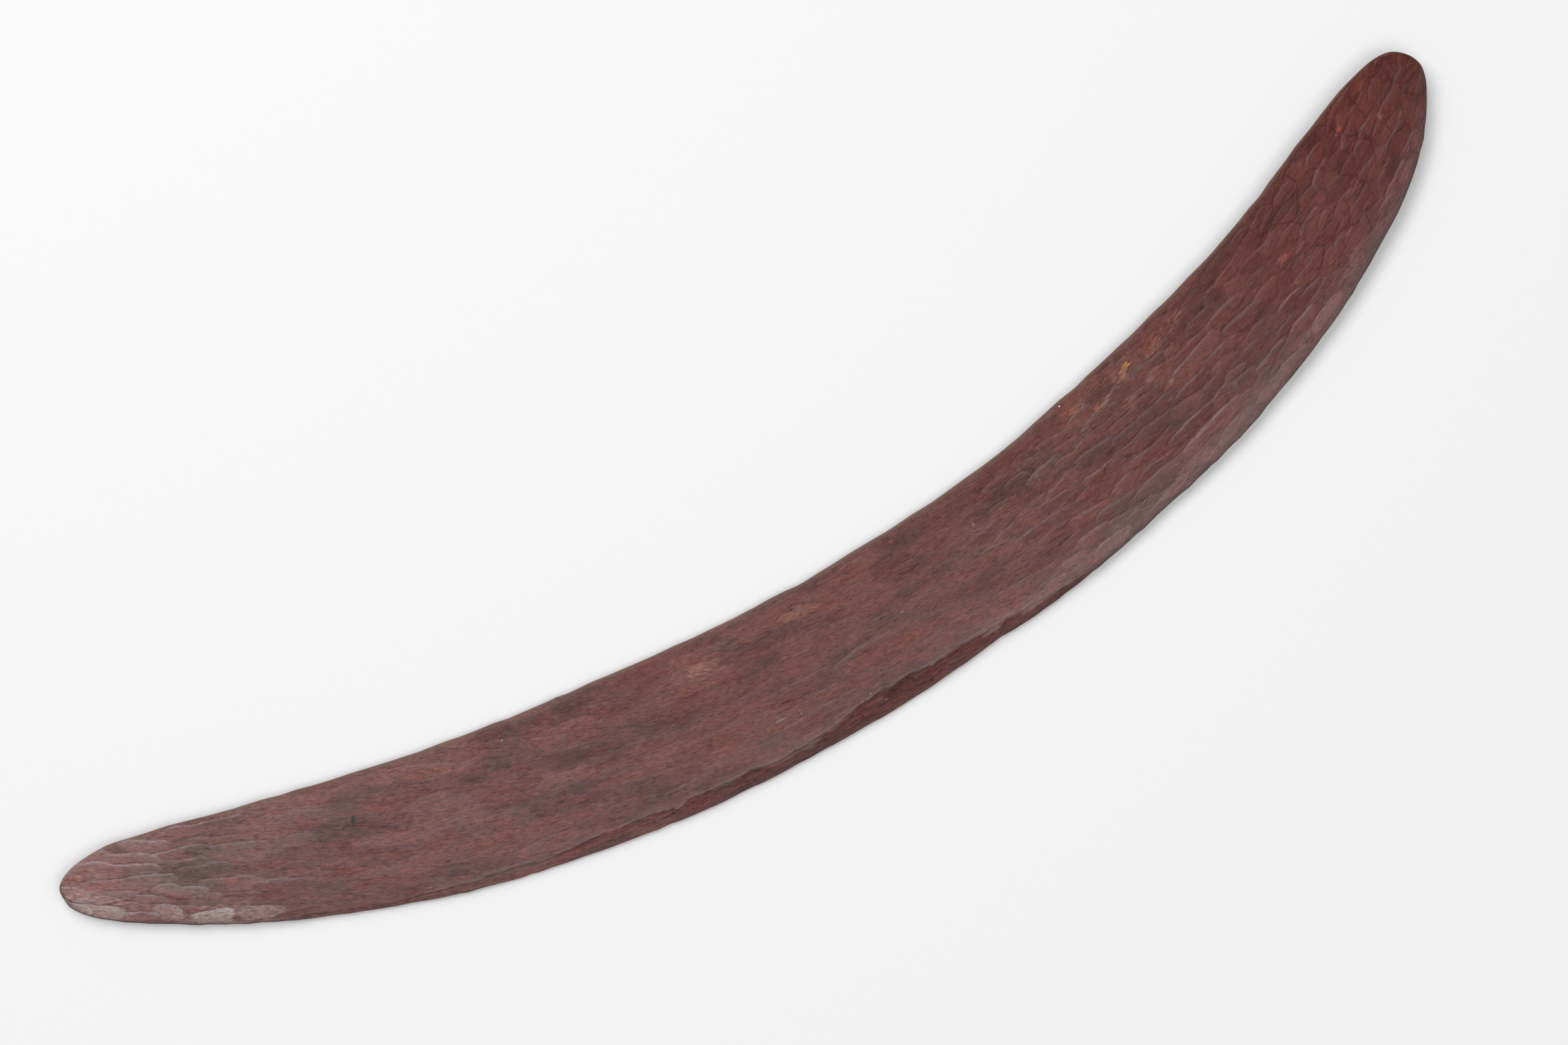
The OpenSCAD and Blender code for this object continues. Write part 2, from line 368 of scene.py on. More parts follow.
def fill_cuts(rng, regions, plan, placed=()):
    """Rows of cuts over each region, a little out of step and out of line, clear of the placed ones."""
    cuts = []

    def taken(along, across):
        return any(
            abs(across - side) < FILL_CLEAR * half
            and -FILL_CLEAR * behind < along - mid < FILL_CLEAR * ahead
            for mid, side, behind, ahead, half, *_ in placed
        )

    for start, stop, step_along, step_across, behind, ahead, half, depth, turn in regions:
        rows = int(2 * plan.half_width(np.linspace(start, stop, 9)).max() / step_across) + 1
        for row in range(rows + 1):
            across = (row - rows / 2) * step_across
            along = start + rng.uniform(0, step_along)
            while along < stop:
                size = rng.uniform(*FILL_LENGTHS)
                cut = (
                    along,
                    across + rng.uniform(-FILL_STRAY, FILL_STRAY) * step_across,
                    behind * size,
                    ahead * size,
                    half * rng.uniform(*FILL_HALVES),
                    depth * rng.uniform(*FILL_DEPTHS),
                    turn + rng.uniform(-FILL_TURN, FILL_TURN),
                    0.0,
                    0.0,
                )
                if not taken(cut[0], cut[1]):
                    cuts.append(cut)
                along += step_along * rng.uniform(*FILL_GAPS)
    return cuts


def steepness(field, along, across):
    """Slope of a field on the grid, taken on the steeper side of each point."""
    lengthwise = np.abs(np.diff(field, axis=0)) / np.diff(along, axis=0)
    sideways = np.abs(np.diff(field, axis=1)) / np.abs(np.diff(across, axis=1))
    lengthwise = np.pad(lengthwise, ((1, 1), (0, 0)), mode="edge")
    sideways = np.pad(sideways, ((0, 0), (1, 1)), mode="edge")
    lengthwise = np.maximum(lengthwise[1:], lengthwise[:-1])
    sideways = np.maximum(sideways[:, 1:], sideways[:, :-1])
    return np.hypot(lengthwise, sideways)


def carve_finely(along, across, cuts, skew, rng):
    """Carves on a finer grid, so that the masks keep thin lines smooth, and returns values at the points."""
    rows, columns = along.shape
    fine_rows = np.linspace(0, rows - 1, (rows - 1) * FINER_ALONG + 1)
    fine_columns = np.linspace(0, columns - 1, (columns - 1) * FINER_ACROSS + 1)

    def spread(grid):
        grid = np.stack([np.interp(fine_rows, np.arange(rows), column) for column in grid.T], axis=1)
        return np.stack([np.interp(fine_columns, np.arange(columns), row) for row in grid])

    def gather(grid):
        for axis, finer in ((0, FINER_ALONG), (1, FINER_ACROSS)):
            reach = finer // 2
            padded = np.pad(grid, [(reach, reach) if k == axis else (0, 0) for k in (0, 1)], mode="edge")
            size = grid.shape[axis]
            parts = [np.take(padded, np.arange(k, k + size), axis=axis) for k in range(2 * reach + 1)]
            grid = np.take(sum(parts) / len(parts), np.arange(0, size, finer), axis=axis)
        return grid

    fine = carve(spread(along), spread(across), cuts, skew, rng)
    return {
        name: grid[::FINER_ALONG, ::FINER_ACROSS] if name == "depth" else gather(grid)
        for name, grid in fine.items()
    }


def carve(along, across, cuts, skew, rng):
    """Depth that the cuts take off a surface, with masks for the arrises and walls between them.

    Each cut is a shallow scoop with a steep wall on its inner side and a floor that rises slowly towards
    its outer side. The deepest cut wins at any point, which leaves a sharp arris where two scoops meet.
    """
    sway_along = rough_field(rng, along, across, SWAY_ALONG)
    sway_across = rough_field(rng, along, across, SWAY_ACROSS)
    deepest = np.zeros_like(along)
    second = np.full_like(along, -UNCUT)
    tone = np.zeros_like(along)
    bloom = np.zeros_like(along)
    wall = np.zeros_like(along)
    above = np.ones_like(along)
    station = along[:, 0]
    for mid, side, behind, ahead, half, depth, turn, tilt, pale in cuts:
        reach = max(behind, ahead) * CUT_REACH[0] + CUT_REACH[1]
        rows = slice(np.searchsorted(station, mid - reach), np.searchsorted(station, mid + reach))
        shade, highlight_share = rng.uniform(-1, 1), rng.uniform(*WALL_HIGHLIGHT_SHARES)
        if rows.stop <= rows.start:
            continue
        run = along[rows] + sway_along[rows] - mid
        rise = across[rows] + sway_across[rows] - side
        cos_t, sin_t = math.cos(math.radians(turn)), math.sin(math.radians(turn))
        forward = run * cos_t + rise * sin_t
        sideways = rise * cos_t - run * sin_t
        stretch = np.where(forward < 0, behind, ahead)
        lean = sideways / half - skew
        # -1 at the outer rim of the cut, 0 on its deepest line and 1 at the top of its wall
        climb = np.where(lean > 0, lean / (1 - skew), lean / (1 + skew))
        bowl = 1 - (forward / stretch) ** 2 - climb**2
        cut = np.maximum(depth - tilt * sideways, LEAST_DEPTH) * bowl
        # The same, with the wall carried round the end of the cut where the adze struck
        struck = forward / stretch * (1 if mid < STRUCK_CHANGES else -1)
        face = climb + WALL_WRAP * np.clip(struck, 0, 1)
        # Share of the painted highlight on this cut's wall
        steep = highlight_share * np.clip(face + WALL_SPREAD, 0, 1) * min(depth / FULL_WALL_DEPTH, 1)
        # Pale bloom with a painted highlight that grows towards the wall
        frost_and_highlight = pale * np.clip(FROST_MIDDLE + FROST_GAIN * face, FROST_LEAST, 1)
        best = deepest[rows]
        wins = cut > best
        second[rows] = np.where(wins, best, np.maximum(second[rows], cut))
        deepest[rows] = np.where(wins, cut, best)
        tone[rows] = np.where(wins, shade, tone[rows])
        bloom[rows] = np.where(wins, frost_and_highlight, bloom[rows])
        wall[rows] = np.where(wins, steep, wall[rows])
        above[rows] = np.where(wins, face < BRIGHT_FROM, above[rows])
    gap = deepest - second
    crease = steepness(gap, along, across)
    from_arris = gap / np.maximum(crease, LEAST_CREASE)
    # Painted shade lies along the upper side of each arris, and a painted highlight along its lower side
    dark_line = np.clip(ARRIS_GONE - from_arris / ARRIS_WIDTH, 0, 1)
    ridge = dark_line * ramp(crease, *DARK_CREASE) * above
    glint = np.exp(-from_arris / GLINT_FADE) * ramp(crease, *BRIGHT_CREASE) * (1 - above)
    wall = wall * (WALL_SHINE * np.exp(-from_arris / WALL_FADE) + GLINT_SHINE * glint)
    return {"depth": deepest, "ridge": ridge, "tone": tone, "bloom": bloom, "wall": wall}


def ramp(value, low, high):
    """0 up to low and 1 from high on, with a smooth rise between them."""
    k = np.clip((value - low) / (high - low), 0, 1)
    return k * k * (3 - 2 * k)


def lift_at(u):
    """Rise of the underside above the resting surface, at a share u of the length."""
    left = LEFT_LIFT * np.clip(1 - u / LEFT_LIFT_FROM, 0, 1) ** LIFT_CURVE
    right = RIGHT_LIFT * np.clip((u - RIGHT_LIFT_FROM) / (1 - RIGHT_LIFT_FROM), 0, 1) ** LIFT_CURVE
    return left + right


def ring_places(plan):
    """Distances along the blade at which its rings lie."""
    cap = CAP_LENGTH * (np.arange(1, CAP_STEPS) / CAP_STEPS) ** 2
    fine = np.linspace(CAP_LENGTH, plan.length - CAP_LENGTH, RING_SAMPLES)
    rings = np.cumsum((fine[1] - fine[0]) / np.interp(fine, *zip(*RING_STEPS)))
    body = np.interp(np.linspace(rings[0], rings[-1], int(rings[-1])), rings, fine)
    return np.concatenate([cap, body, plan.length - cap[::-1]])[:, None]


def bevelled(rng, grid, surface):
    """Cuts the bevel and the brink below it into a surface, and says where each of them is."""
    along, across, edge = grid.long, grid.across, grid.across[:, :1]
    top_line = np.interp(grid.along, *zip(*BEVEL_TOP))
    for length, depth in BEVEL_NICKS:
        top_line = top_line + nicked_line(rng, grid.along, length, depth)
    within = ramp(grid.along, *BEVEL_COMES_IN) * (1 - ramp(grid.along, *BEVEL_RUNS_OUT))
    top_line = top_line * within + (edge - BEVEL_CLEAR) * (1 - within)
    from_top = top_line - across
    line_side = np.clip(np.abs(top_line - grid.shift) / grid.half, 0, 1)
    dome_at_line = EDGE_H + grid.crown * (1 - line_side**DOME_FLATNESS) ** DOME_SHOULDER
    bevel = dome_at_line - BEVEL_SLOPE * from_top
    bevel = bevel + rough_field(rng, along, from_top, SPLINTERS) * ramp(from_top, *SPLINTERS_GROW)
    wander = rough_field(rng, along, across, BRINK_WANDER)
    brink_slope = BRINK_SLOPE + BRINK_STEEPER * (1 - within + ramp(grid.along, *RIGHT_ARM_FROM))
    brink = BRINK_EDGE_H + brink_slope * (across - edge) + wander
    on_bevel = (from_top > 0) & (bevel < surface)
    surface = np.where(from_top > 0, np.minimum(surface, bevel), surface)
    masks = SimpleNamespace(
        cut=on_bevel | (brink < surface),
        # A painted highlight on the lip above the bevel, and painted shade in a line below its top
        lip_highlight=np.exp(-np.clip(-from_top, 0, None) / LIP_FADE) * (from_top <= 0) * within,
        under_lip=np.exp(-np.clip(from_top - UNDER_LIP_START, 0, None) / UNDER_LIP_FADE)
        * (from_top > 0) * within,
        beyond=1 - within,
    )
    return np.minimum(surface, brink), masks


def blade_surface(plan):
    """Points of the upper and under surfaces on a grid, with the masks that the material reads."""
    rng = np.random.default_rng(SEED)
    along = ring_places(plan)
    u = along / plan.length
    half = plan.half_width(along)
    inner = np.interp(along, *zip(*INNER_STRAY)) + nicked_line(rng, along, *INNER_NICKS)
    outer = np.interp(along, *zip(*OUTER_STRAY)) + nicked_line(rng, along, *OUTER_NICKS)
    half = half + (inner - outer) / 2 * np.minimum(1, half / STRAY_FULL_HALF)
    shift = (inner + outer) / 2

    even = np.linspace(-1, 1, UPPER_STEPS + 1)[None, :]
    side = (1 - EDGE_CROWDING) * even + EDGE_CROWDING * np.sin(even * math.pi / 2)
    across = shift + half * side
    long_grid = np.broadcast_to(along, across.shape)
    thickness = END_H + (ELBOW_H - END_H) * (1 - np.abs(2 * u - 1) ** THICKNESS_HOLD)
    dome = np.clip(1 - np.abs(side) ** DOME_FLATNESS, 0, 1) ** DOME_SHOULDER
    crown = (thickness - EDGE_H) * plan.roundness(along) ** END_SINK
    grid = SimpleNamespace(along=along, long=long_grid, across=across, half=half, shift=shift, crown=crown)

    placed = [
        (*cut[:2], cut[2] * longer, cut[3] * longer, cut[4], cut[5] * deeper, *cut[6:])
        for cuts, longer, deeper in PLACED_GROUPS
        for cut in cuts
    ]
    cuts = fill_cuts(rng, FILL_REGIONS, plan, placed) + placed
    cut = carve_finely(long_grid, across, cuts, CUT_SKEW, rng)
    # The cuts fade out at the edges, so that they don't eat into the outline
    hold = ramp(1 - np.abs(side), 0.0, UPPER_HOLD)
    carved, edge = bevelled(rng, grid, EDGE_H + crown * dome - cut["depth"] * hold)

    turn_under = np.linspace(0, 1, UNDER_STEPS + 1)[None, 1:-1]
    under_side = (np.cos(math.pi * turn_under) + 1 - 2 * turn_under) / 2
    under_across = shift + half * under_side
    under_long = np.broadcast_to(along, under_across.shape)
    curl = np.clip(1 - half * (1 - np.abs(under_side)) / np.minimum(UNDER_ROUND_W, half), 0, 1)
    edge_z = np.where(under_side < 0, carved[:, :1], carved[:, -1:])
    lift = lift_at(u)
    under = np.maximum(0, -FLAT_ALLOWANCE + (edge_z + FLAT_ALLOWANCE) * curl**UNDER_CURL + lift)
    under_cut = carve(under_long, under_across, fill_cuts(rng, UNDER_REGIONS, plan), 0.0, rng)
    under = under + under_cut["depth"] * ramp(1 - np.abs(under_side), 0.0, UNDER_HOLD)

    # Painted shade along the arrises and in the line under the bevel's top
    ridge = np.maximum(cut["ridge"] * np.interp(along, *zip(*ARRIS_SHOWS)), edge.under_lip)
    # Painted highlight on the walls of the cuts and on the lip above the bevel
    wall = np.maximum(cut["wall"] * hold * np.interp(along, *zip(*WALL_SHOWS)), edge.lip_highlight * LIP_SHOWS)
    # Painted shade: a dark strip along the outer edge where it has no bevel
    dark_width = BRINK_DARK_WIDTH + rough_field(rng, long_grid, across, BRINK_DARK_WANDER)
    brink = np.clip(BRINK_DARK_GONE - (across - across[:, :1]) / dark_width, 0, 1) * edge.beyond

    def joined(upper, lower=0.0):
        return np.hstack([upper * np.ones_like(across), lower * np.ones_like(under)])

    return {
        "along": joined(long_grid, under_long),
        "across": joined(across, under_across),
        "height": joined(carved + lift, under),
        "apart": joined(0.0, UNDER_APART),
        "ridge": joined(ridge, under_cut["ridge"] * UNDER_ARRIS),
        "tone": joined(cut["tone"], under_cut["tone"]),
        "bloom": joined(cut["bloom"] * hold),
        "wall": joined(np.where(edge.cut, 0, wall)),
        "bevel": joined(edge.cut),
        "brink": joined(brink),
        "rim": joined(ramp(side, RIM_FROM, 1.0)),
    }


def blade_mesh(plan):
    """The blade as one closed mesh, with the masks stored on its points."""
    grids = blade_surface(plan)
    blunt = LEFT_TRIM * np.clip(1 - grids["along"] / CAP_LENGTH, 0, 1) ** 2
    x, y = plan.place(grids["along"] + blunt, grids["across"])
    rows, ring = x.shape
    points = np.stack([x, y, grids["height"]], axis=-1).reshape(-1, 3)
    # One point closes each end, midway between the two edges of the last ring
    ends = [(points[r * ring] + points[r * ring + UPPER_STEPS]) / 2 for r in (0, rows - 1)]
    points = np.vstack([points, ends]) * MM
    faces = []
    for r in range(rows - 1):
        for j in range(ring):
            k = (j + 1) % ring
            faces.append((r * ring + j, (r + 1) * ring + j, (r + 1) * ring + k, r * ring + k))
    left, right = rows * ring, rows * ring + 1
    for j in range(ring):
        k = (j + 1) % ring
        faces.append((left, j, k))
        faces.append((right, (rows - 1) * ring + k, (rows - 1) * ring + j))

    mesh = bpy.data.meshes.new("carved_blade")
    mesh.from_pydata(points.tolist(), [], faces)
    mesh.polygons.foreach_set("use_smooth", [True] * len(mesh.polygons))

    def with_ends(grid):
        flat = grid.reshape(-1)
        return np.concatenate([flat, [flat[0], flat[-1]]])

    along, across = with_ends(grids["along"]), with_ends(grids["across"])
    height, apart = with_ends(grids["height"]), with_ends(grids["apart"])
    drift = np.interp(along, *zip(*GRAIN_DRIFT))
    vectors = {
        "place": np.stack([along, across, height - apart], axis=-1),
        "grain": np.stack([along, across - drift, height], axis=-1),
    }
    for name, values in vectors.items():
        layer = mesh.attributes.new(name, "FLOAT_VECTOR", "POINT")
        layer.data.foreach_set("vector", values.astype(np.float32).reshape(-1))
    for name in MASKS:
        layer = mesh.attributes.new(name, "FLOAT", "POINT")
        layer.data.foreach_set("value", with_ends(grids[name]).astype(np.float32))
    mesh.update()
    piece = bpy.data.objects.new("carved_blade", mesh)
    bpy.context.scene.collection.objects.link(piece)
    return piece


# ---------------------------------------------------------------- material
class Nodes:
    """Short names for building a node material."""

    def __init__(self, name):
        self.material = bpy.data.materials.new(name)
        self.material.use_nodes = True
        self.tree = self.material.node_tree
        self.shader = self.tree.nodes["Principled BSDF"]

    def make(self, kind, **settings):
        node = self.tree.nodes.new(kind)
        for key, value in settings.items():
            setattr(node, key, value)
        return node

    def join(self, source, target):
        """Sets a socket to a number or a colour, or links another socket to it."""
        if isinstance(source, (int, float)):
            target.default_value = source
        elif isinstance(source, tuple):
            target.default_value = source if len(source) == len(target.default_value) else (*source, 1.0)
        else:
            self.tree.links.new(source, target)

    def attribute(self, name, output="Fac"):
        return self.make("ShaderNodeAttribute", attribute_name=name).outputs[output]

    def math(self, operation, a, b=0.0):
        node = self.make("ShaderNodeMath", operation=operation)
        self.join(a, node.inputs[0])
        self.join(b, node.inputs[1])
        return node.outputs[0]

    def product(self, a, b):
        return self.math("MULTIPLY", a, b)

    def band(self, value, low, high, to_low=0.0, to_high=1.0):
        """Runs smoothly from to_low to to_high as the value goes from low to high."""
        node = self.make("ShaderNodeMapRange", interpolation_type="SMOOTHSTEP")
        for source, target in zip((value, low, high, to_low, to_high), node.inputs[:5]):
            self.join(source, target)
        return node.outputs[0]

    def scaled(self, vector, scale, shift=(0, 0, 0)):
        """Squeezes a texture to this many bumps in a millimetre along, across and up."""
        node = self.make("ShaderNodeMapping")
        self.join(vector, node.inputs["Vector"])
        node.inputs["Scale"].default_value = scale
        node.inputs["Location"].default_value = shift
        return node.outputs[0]

    def noise(self, vector, detail=2.0, roughness=0.5, output="Fac"):
        node = self.make("ShaderNodeTexNoise")
        self.join(vector, node.inputs["Vector"])
        node.inputs["Scale"].default_value = 1.0
        node.inputs["Detail"].default_value = detail
        node.inputs["Roughness"].default_value = roughness
        return node.outputs[output]

    def cells(self, vector, feature="F1"):
        """A colour for each cell, or the distance to the edge of the cell."""
        node = self.make("ShaderNodeTexVoronoi", feature=feature)
        self.join(vector, node.inputs["Vector"])
        node.inputs["Scale"].default_value = 1.0
        return node.outputs["Distance" if feature == "DISTANCE_TO_EDGE" else "Color"]

    def mix(self, factor, a, b, blend="MIX"):
        node = self.make("ShaderNodeMix", data_type="RGBA", blend_type=blend)
        self.join(factor, node.inputs[0])
        self.join(a, node.inputs[6])
        self.join(b, node.inputs[7])
        return node.outputs[2]

    def add_vectors(self, a, b):
        node = self.make("ShaderNodeVectorMath", operation="ADD")
        self.join(a, node.inputs[0])
        self.join(b, node.inputs[1])
        return node.outputs[0]

    def centred(self, colour):
        """A noise colour as a vector whose parts run from -0.5 to 0.5."""
        node = self.make("ShaderNodeVectorMath", operation="SUBTRACT")
        self.join(colour, node.inputs[0])
        node.inputs[1].default_value = (0.5, 0.5, 0.5)
        return node.outputs[0]

    def tint(self, colour, gain, amount):
        """Multiplies a colour by a gain, as far as the amount says."""
        return self.mix(amount, colour, gain, "MULTIPLY")

    def ramp_along(self, along, stops):
        """Runs through the stops' colours down the blade."""
        colour = stops[0][1]
        for (start, _), (stop, tint) in zip(stops, stops[1:]):
            colour = self.mix(self.band(along, start, stop), colour, tint)
        return colour

    def spot(self, place, centre, radii, turn, soft):
        """1 inside an ellipse on the upper face, falling to 0 at its rim."""
        node = self.make("ShaderNodeMapping", vector_type="TEXTURE")
        self.join(place, node.inputs["Vector"])
        node.inputs["Location"].default_value = (*centre, 0)
        node.inputs["Rotation"].default_value = (0, 0, math.radians(turn))
        node.inputs["Scale"].default_value = (*radii, MARK_REACH)
        length = self.make("ShaderNodeVectorMath", operation="LENGTH")
        self.join(node.outputs[0], length.inputs[0])
        return self.band(length.outputs["Value"], 1.0, 1.0 - soft)


# Gains of the patches that tint the wood
TAN, DARK, BROWN = (1.80, 2.00, 1.70), (0.76, 0.82, 0.86), (1.32, 1.46, 1.32)
DULL, PALE = (1.12, 1.22, 1.18), (1.30, 1.42, 1.42)
# The patches: (along, across, half length, half width, turn, gain)
PATCHES = (
    (506.0, 20.0, 75.0, 15.0, 2, DULL),
    (18.0, -9.0, 22.0, 8.0, -14, PALE),
    (68.0, -19.0, 38.0, 8.0, -8, PALE),
    (521.0, 23.4, 8.0, 3.2, 4, TAN),
    (545.0, 15.5, 8.0, 3.0, 6, BROWN),
    (541.0, 22.0, 9.0, 3.0, 6, BROWN),
    (508.0, 20.0, 9.0, 3.4, 2, BROWN),
    (517.0, 12.0, 8.0, 3.0, 4, BROWN),
    (556.0, 24.0, 7.0, 2.6, 6, BROWN),
    (498.0, 26.0, 7.0, 2.4, 0, BROWN),
    (534.0, 6.0, 6.0, 2.2, 2, BROWN),
    (296.0, 21.0, 13.0, 4.2, -4, BROWN),
    (344.0, 23.0, 15.0, 4.4, -4, BROWN),
    (606.0, 4.6, 5.0, 1.4, -6, TAN),
    (680.5, 1.5, 2.6, 2.0, 30, TAN),
    (667.0, 14.5, 4.0, 2.2, 10, TAN),
    (324.0, 12.0, 12.0, 3.6, -4, DARK),
    (226.0, 9.0, 17.0, 7.0, -6, DARK),
    (186.0, 14.0, 12.0, 4.0, -8, DARK),
    (603.0, -11.0, 3.2, 2.4, 0, DARK),
)
# Chips, scratches and specks with a colour of their own:
# (along, across, half length, half width, turn, colour, strength)
MARKS = (
    (130.7, 10.3, 1.5, 3.0, -12, (0.035, 0.040, 0.036), 0.85),
    (135.3, -7.2, 0.6, 0.5, 0, (0.02, 0.022, 0.02), 0.8),
    (526.5, 24.8, 3.2, 1.9, 0, (0.40, 0.19, 0.07), 0.8),
    (316.0, -13.6, 3.2, 1.4, 0, (0.24, 0.17, 0.18), 0.55),
    (325.2, -14.5, 0.25, 3.0, 0, (0.42, 0.23, 0.13), 0.5),
    (309.5, -14.8, 0.25, 2.2, 4, (0.36, 0.2, 0.12), 0.45),
    (383.5, 0.6, 1.6, 0.4, 4, (0.40, 0.24, 0.17), 0.5),
    (430.0, 15.0, 0.7, 1.0, -20, (0.40, 0.25, 0.2), 0.5),
    (202.8, 25.3, 0.35, 0.3, 0, (0.8, 0.72, 0.66), 0.9),
    (492.5, 31.2, 0.45, 0.5, 0, (0.75, 0.75, 0.78), 0.9),
    (354.5, -22.1, 0.3, 0.3, 0, (0.75, 0.7, 0.68), 0.8),
    (359.0, -27.6, 0.3, 0.3, 0, (0.7, 0.6, 0.58), 0.8),
)

# Colour of the wood along the blade, from the dusty left end to the dark right end: (along, colour)
WOOD_ALONG = (
    (0, (0.275, 0.160, 0.142)),
    (70, (0.208, 0.112, 0.100)),
    (160, (0.205, 0.104, 0.091)),
    (280, (0.188, 0.086, 0.073)),
    (400, (0.168, 0.073, 0.061)),
    (540, (0.160, 0.060, 0.048)),
    (610, (0.142, 0.042, 0.033)),
    (712, (0.136, 0.033, 0.023)),
)
# The colours from here to BEVEL_DARK multiply the colour of the wood
GREY_PATCH = (0.72, 0.86, 0.87)
RED_PATCH = (1.09, 0.90, 0.86)
RED_STREAK = (1.62, 1.30, 1.20)
DARK_STREAK = (0.54, 0.51, 0.52)
LIGHT_THREAD = (1.20, 1.19, 1.19)
DARK_THREAD = (0.80, 0.80, 0.80)
SPECK = (0.86, 0.86, 0.86)
FLAKE_DARK = (0.84, 0.82, 0.84)
FLAKE_RED = (1.12, 0.97, 0.94)
CRACK = (0.34, 0.30, 0.32)
# The next colour is painted shade along one side of each arris
ARRIS_SHADE = (0.30, 0.17, 0.17)
CELL_LINE = (0.50, 0.36, 0.36)
CUT_DEEP = (0.76, 0.73, 0.75)
BEVEL_LEFT = (1.22, 1.02, 0.98)
BEVEL = (0.92, 0.62, 0.54)
BEVEL_DARK = (0.42, 0.34, 0.36)
# The colours from here on replace it
DUST = (0.230, 0.185, 0.190)
# The next colour is a painted highlight on the walls of the cuts and on the lip above the bevel
WALL_HIGHLIGHT = (0.420, 0.345, 0.350)
BEVEL_FLAKE = (0.230, 0.120, 0.105)
EDGE_TAN = (0.190, 0.105, 0.075)
# The next two colours are pale bloom with a painted highlight on the frosted cuts and edge facets
BLOOM_AND_HIGHLIGHT = (0.385, 0.305, 0.300)
EDGE_BLOOM_AND_HIGHLIGHT = (0.310, 0.168, 0.152)
# The next colour is painted shade along the outer edge where it has no bevel
BRINK_SHADE = (0.055, 0.022, 0.026)
# How strongly some of them show
CRACK_SHOWS, WALL_HIGHLIGHT_SHOWS, EDGE_TAN_SHOWS, BRINK_SHADE_SHOWS = 0.45, 0.62, 0.55, 0.85
# Height of the relief that the fibres leave on the surface
GRAIN_RELIEF = 0.34


def wood_textures(n):
    """The masks stored on the mesh, and noise drawn out along the wandering fibres."""
    wood = SimpleNamespace(place=n.attribute("place", "Vector"))
    for name in MASKS:
        setattr(wood, name, n.attribute(name))
    parts = n.make("ShaderNodeSeparateXYZ")
    n.join(wood.place, parts.inputs[0])
    wood.along = parts.outputs[0]

    grain = n.attribute("grain", "Vector")
    wood.wander = n.centred(n.noise(n.scaled(grain, (0.04, 0.07, 0.2)), output="Color"))
    wood.ripple = n.centred(n.noise(n.scaled(grain, (0.16, 0.35, 0.4), (9, 4, 0)), output="Color"))
    fibre = n.add_vectors(grain, n.scaled(wood.wander, (0, 4.0, 0)))
    wood.fibre = n.add_vectors(fibre, n.scaled(wood.ripple, (0, 0.9, 0)))

    wood.broad = n.noise(n.scaled(wood.fibre, (0.022, 0.075, 0.08)), 3.0, 0.6)
    wood.patches = n.noise(n.scaled(wood.fibre, (0.06, 0.24, 0.2), (31, 7, 0)), 3.0, 0.6)
    wood.streaks = n.noise(n.scaled(wood.fibre, (0.36, 1.45, 1.0), (2, 5, 0)), 3.0, 0.6)
    wood.threads = n.noise(n.scaled(wood.fibre, (0.80, 3.2, 2.0), (5, 3, 0)), 2.0, 0.6)
    wood.specks = n.noise(n.scaled(wood.fibre, (2.0, 3.6, 3.0), (1, 9, 0)), 1.0)
    wood.frost = n.noise(n.scaled(wood.fibre, (0.60, 1.5, 1.0), (3, 17, 0)), 4.0, 0.8)
    wood.dust = n.noise(n.scaled(wood.fibre, (0.12, 0.55, 0.5), (7, 23, 0)), 4.0, 0.65)
    # Thin dark splits follow the middle value of one long-drawn noise
    seams = n.noise(n.scaled(wood.fibre, (0.030, 0.30, 0.3), (17, 3, 0)), 1.2)
    off_seam = n.math("ABSOLUTE", n.math("SUBTRACT", seams, 0.5))
    wood.split = n.product(n.band(off_seam, 0.016, 0.005), n.band(wood.patches, 0.46, 0.60))
    return wood


def grain_colour(n, wood):
    """The wood itself, from its overall colour down to single threads."""
    colour = n.ramp_along(wood.along, WOOD_ALONG)
    colour = n.tint(colour, GREY_PATCH, n.band(wood.broad, 0.52, 0.34))
    colour = n.tint(colour, RED_PATCH, n.band(wood.patches, 0.50, 0.66))
    # The streaks show most on the smoother middle of the blade
    streaky = n.band(wood.along, 430, 500, 1.0, 0.65)
    colour = n.tint(colour, RED_STREAK, n.product(n.band(wood.streaks, 0.50, 0.76), streaky))
    colour = n.tint(colour, DARK_STREAK, n.product(n.band(wood.streaks, 0.50, 0.26), streaky))
    colour = n.tint(colour, LIGHT_THREAD, n.band(wood.threads, 0.50, 0.78))
    colour = n.tint(colour, DARK_THREAD, n.band(wood.threads, 0.50, 0.24))
    return n.tint(colour, SPECK, n.band(wood.specks, 0.62, 0.30))


